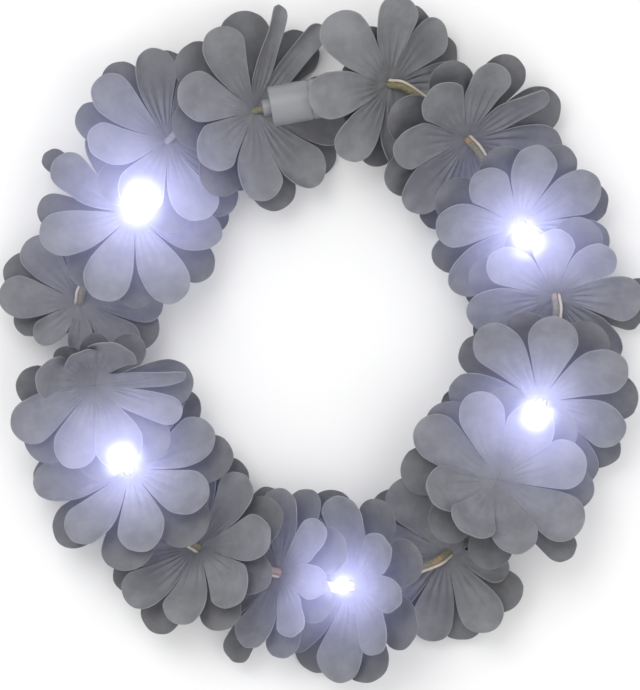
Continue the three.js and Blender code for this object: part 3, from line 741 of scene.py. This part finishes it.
def layer_object(index, layer):
    """One layer of a flower's cloth: a hub with a hole for the band, and its petals."""
    flower, hub = FLOWERS[index], HUBS[index]
    petals = petals_of(index, layer)
    front = layer == "front"
    columns, rows = len(COLUMNS), len(ROWS)
    level = petals[0]["level"]
    rest = (CLOTH + LAYER_GAP + CLOTH / 2 if front else CLOTH / 2) - 0.3
    points, flats, overhang = [], [], []
    over_lamp = index - 1 in lamp_places
    hub_row = columns - 1
    has_lead = 1 <= index <= max(lamp_places)
    tied = flower.get("tied", False)
    hole = HOLE["tied"] if tied else HOLE[layer]
    outward = LEAD_ROOM if has_lead and not tied else 0
    slack = HOLE_SLACK if front and not tied else 0
    puckers = np.random.default_rng(500 + 2 * index + front).uniform(0, 2 * math.pi, 3)
    for k, share in enumerate(HUB_ROWS):
        dip = HUB_DIP[layer] * (1 - share) ** 1.6
        for petal in petals:
            for t in COLUMNS[:-1]:
                a = petal["bearing"] + t * (petal["left"] if t > 0 else petal["right"])
                wide = hole + (outward - slack) * abs(math.sin(a))
                r = wide + (HUB_RADIUS - wide) * share
                pucker = 0.16 * math.sin(5 * a + puckers[0]) + 0.1 * math.sin(9 * a + puckers[1])
                pucker *= math.sin(math.pi * share)
                x, y = r * math.cos(a), r * math.sin(a) + outward * (1 - share)
                points.append((x, y, level - dip + pucker))
                flats.append((x, y, 0))
                overhang.append(OVERHANG_ROOT * hanging(math.cos(a)) * share * over_lamp)
    around = hub_row * PETALS
    start = len(points)
    faces, petal_uv, edge_uv = [], [], []
    which = [(scatter(index * 2 + front, 90 + i) + 1) / 2 for i in range(PETALS)]
    grid_edges = []
    for i, petal in enumerate(petals):
        made, flat, edge = petal_surface(petal, 1000 * index + 100 * front + i)
        points.extend(made[1:].reshape(-1, 3))
        flats.extend(flat[1:].reshape(-1, 3))
        grid_edges.append(edge)
        # More painted lamp light in petals that hang over a lamp
        grown = OVERHANG_ROOT + (1 - OVERHANG_ROOT) * np.clip(ROWS[1:, None] / 0.3, 0, 1)
        overhang.extend((hanging(petal["facing"]) * grown * over_lamp * np.ones(columns)).ravel())
    shown_across = COLUMNS * 0.5 + 0.5

    def hub_index(k, i, j):
        return k * around + (i * hub_row + j) % around

    def index_of(i, k, j):
        if k == 0:
            return hub_index(len(HUB_ROWS) - 1, i, j)
        return start + i * (rows - 1) * columns + (k - 1) * columns + j

    for i in range(PETALS):
        for k in range(len(HUB_ROWS) - 1):
            v = [(HUB_ROWS[k + d] - 1) / 4 for d in (0, 1)]
            for j in range(hub_row):
                faces.append(tuple(hub_index(k + d, i, j + e) for d, e in QUAD))
                petal_uv.append(tuple((shown_across[j + e], v[d]) for d, e in QUAD))
                edge_uv.append(((5, which[i]),) * 4)
        for k in range(rows - 1):
            for j in range(columns - 1):
                corners = tuple((k + d, j + e) for d, e in QUAD)
                faces.append(tuple(index_of(i, r, c) for r, c in corners))
                petal_uv.append(tuple((shown_across[c], ROWS[r]) for r, c in corners))
                to_cut = [float(grid_edges[i][r, c]) if r > 1 else 3.0 for r, c in corners]
                edge_uv.append(tuple((far, which[i]) for far in to_cut))
    points, flats = np.array(points, float), np.array(flats, float)

    world = points @ hub["basis"].T + hub["place"]
    world[:, 2] = np.maximum(world[:, 2], rest)
    # Both faces of the cloth, and its cut edge.
    quads = np.array(faces)
    normals = np.zeros_like(world)
    diagonal = np.cross(world[quads[:, 2]] - world[quads[:, 0]], world[quads[:, 3]] - world[quads[:, 1]])
    for c in range(4):
        np.add.at(normals, quads[:, c], diagonal)
    normals /= np.linalg.norm(normals, axis=1)[:, None]
    count = len(world)
    both = np.vstack([world + normals * FINE_CLOTH / 2, world - normals * FINE_CLOTH / 2])
    back = [tuple(int(v) + count for v in reversed(f)) for f in faces]
    rims, rim_uv, rim_edge = cut_edges(faces, petal_uv, edge_uv, count)
    all_faces = faces + back + rims
    all_uv = petal_uv + [tuple(reversed(u)) for u in petal_uv] + rim_uv
    all_edge = edge_uv + [tuple(reversed(u)) for u in edge_uv] + rim_edge
    name = f"flower_{index + 1:02d}_{layer}_cloth"
    obj = mesh_object(name, both, all_faces, front_cloth if front else back_cloth, smooth=70)
    mesh = obj.data
    for label, values in (("petal", all_uv), ("edge", all_edge)):
        mesh.uv_layers.new(name=label)
        mesh.uv_layers[label].data.foreach_set("uv", np.array(values, np.float32).ravel())
    attribute = mesh.attributes.new("flat", "FLOAT_VECTOR", "POINT")
    attribute.data.foreach_set("vector", (np.vstack([flats, flats])).astype(np.float32).ravel())
    add_glow(obj, np.tile(overhang, 2))
    a, b, c, d = (flats[quads[:, k]] for k in range(4))
    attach(obj, "crown")
    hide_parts(f"flower_{index + 1:02d}_{layer}_petals")


for i in range(len(FLOWERS)):
    for layer in ("front", "back"):
        layer_object(i, layer)

# The band's wound tape, and the lead beside it.
line, at = evenly(catmull(thread_points(HUBS, 0), True, 16), 0.8, True)
turns = round(at[-1] / TAPE_PITCH)


def wound(arc, angles):
    """The band's radius: each turn of the tape laps the last, with a groove beside its edge."""
    place = arc / at[-1] * turns + angles / (2 * math.pi)
    step = place - np.floor(place)
    return BAND_THICKNESS / 2 * (0.95 + 0.07 * step - 0.05 * np.exp(-((step / 0.08) ** 2)))


band = tube("band_wound", line, at, wound, 16, True, tape)
add_glow(band)
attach(band, "crown")
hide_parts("band")

run = HUBS[1]["here"] - HUBS[0]["here"]
run[2] = 0
run = unit(run)
low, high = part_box("battery_capsule")
capsule_place = HUBS[0]["here"] + run * CAPSULE["start"]
capsule_place[2] = (low[2] + high[2]) / 2 / MM
last_lamp = max(lamp_places)
lead_points = [capsule_place + run * (CAPSULE["length"] + SEAT_GAP + extra) for extra in (0, LEAD_EXIT)]
lead_points += thread_points(HUBS[1:last_lamp + 1], BAND_THICKNESS / 2 + LEAD_REST + LEAD_THICKNESS / 2)
lead_line, lead_at = evenly(catmull(lead_points, False, 12), 1.2, False)


def plain(arc, angles):
    """The lead's radius, the same all along and round."""
    return np.full(len(angles), LEAD_THICKNESS / 2)


lead = tube("lamp_lead_sheath", lead_line, lead_at, plain, 10, False, sheath)
add_glow(lead)
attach(lead, "crown")
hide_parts("lamp_lead")

# The capsule: a round shell with a seam, a ring round the button, and a closed end.
radius, length = CAPSULE["radius"], CAPSULE["length"]
bore, bore_depth = CAPSULE["bore"], CAPSULE["boreDepth"]
ring, seam = CAPSULE_RING, CAPSULE_SEAM
seam_low = seam["at"] + seam["slope"]
seam_high = seam_low + seam["width"]
profile = rounded([
    (0, bore_depth), (bore, bore_depth), (bore, 0), (bore + ring["inner"], 0),
    (bore + ring["foot"], ring["depth"]), (radius - ring["groove"], ring["depth"]),
    (radius - ring["outer"], 0), (radius, 0), (radius, seam["at"]), (radius - seam["depth"], seam_low),
    (radius - seam["depth"], seam_high), (radius, seam_high + seam["slope"]),
    (radius, length), (0, length)], CAPSULE["edge"])
body = turned("battery_capsule_shell", profile, 64, capsule_place, run, shell, smooth=50)
add_glow(body)
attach(body, "crown")
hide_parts("battery_capsule")
radius, inside, proud = BUTTON["radius"], BUTTON["inside"], BUTTON["proud"]
profile = rounded([
    (0, inside), (radius, inside), (radius, -proud), (radius - BUTTON["rim"], -proud),
    (radius - BUTTON["dish"], BUTTON["dishDepth"] - proud), (0, BUTTON["middle"] - proud)], BUTTON["edge"])
button = turned("push_button_cap", profile[::-1], 48, capsule_place, run, shell, smooth=50)
add_glow(button)
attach(button, "switch")
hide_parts("push_button")

# The lamps.
radius, straight, dome = LAMP["radius"], LAMP["body"], LAMP["dome"]
waist = radius * LENS["waist"]
profile = [(0, LENS["foot"]), (radius, LENS["foot"]), (radius, LENS["flange"]), (waist, LENS["neck"]),
           (waist, straight)]
profile += [(waist * math.cos(a), straight + dome * math.sin(a)) for a in np.linspace(*LENS_ARC, 5)]
profile += [(0, straight + dome)]
for i, place in lamp_places.items():
    bulb = turned(f"lamp_{i + 1:02d}_lens", profile, 24, place, UP, lens, smooth=50)
    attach(bulb, "crown")
    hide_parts(f"lamp_{i + 1:02d}")

# Light, floor and camera
for i, place in lamp_places.items():
    light = bpy.data.lights.new(f"lamp_{i + 1:02d}_light", "POINT")
    light.energy = LAMP_POWER
    light.color = (0.58, 0.6, 1.0)
    light.shadow_soft_size = 0.002
    obj = bpy.data.objects.new(light.name, light)
    axis = HUBS[i]["basis"][:, 2]
    top = place + SHIFT + UP * (LAMP["body"] + LAMP["dome"])
    obj.location = [float(v) * MM for v in top + axis * LAMP_LIFT]
    bpy.context.scene.collection.objects.link(obj)

FLOOR_REACH = 4
mat, tree, bsdf = material_of("pale_floor")
bsdf.inputs["Base Color"].default_value = (0.93, 0.93, 0.93, 1)
bsdf.inputs["Roughness"].default_value = 0.9
bsdf.inputs["Specular IOR Level"].default_value = 0.1
mesh = bpy.data.meshes.new("floor")
sides = ((-1, -1), (1, -1), (1, 1), (-1, 1))
mesh.from_pydata([(x * FLOOR_REACH, y * FLOOR_REACH, 0) for x, y in sides], [], [(0, 1, 2, 3)])
mesh.materials.append(mat)
floor = bpy.data.objects.new("floor", mesh)
bpy.context.scene.collection.objects.link(floor)
floor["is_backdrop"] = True

ROOM_LIGHT = 0.86
world = bpy.data.worlds.new("soft_room")
world.use_nodes = True
world.node_tree.nodes["Background"].inputs["Color"].default_value = (1, 1, 1, 1)
world.node_tree.nodes["Background"].inputs["Strength"].default_value = ROOM_LIGHT
bpy.context.scene.world = world
for name, place, size, power in (("key", (-0.45, 0.6, 1.3), 0.9, 7.0), ("fill", (0.7, -0.5, 1.2), 1.1, 3.0)):
    light = bpy.data.lights.new(name, "AREA")
    light.size, light.energy = size, power
    obj = bpy.data.objects.new(name, light)
    obj.location = place
    obj.rotation_euler = (-Vector(place)).to_track_quat("-Z", "Y").to_euler()
    bpy.context.scene.collection.objects.link(obj)

TALL = 690  # the picture's height in pixels, and its longer side
MM_PER_PIXEL = 0.38
DISTANCE = 2.4  # from the camera to the height that the scale holds for, in metres
SENSOR = 36
AIM_DOWN = 0.76  # how far below the ring's middle the picture's middle is
CLOTH_LEVEL = 0.02  # that height, in metres
camera = bpy.data.cameras.new("camera")
camera.sensor_width = SENSOR
camera.lens = SENSOR * DISTANCE / (TALL * MM_PER_PIXEL * MM)
camera.clip_end = 20
eye = bpy.data.objects.new("camera", camera)
eye.location = (float(SHIFT[0]) * MM, (float(SHIFT[1]) - AIM_DOWN) * MM, DISTANCE + CLOTH_LEVEL)
bpy.context.scene.collection.objects.link(eye)
bpy.context.scene.camera = eye
bpy.context.scene.view_settings.view_transform = "Standard"

low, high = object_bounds()
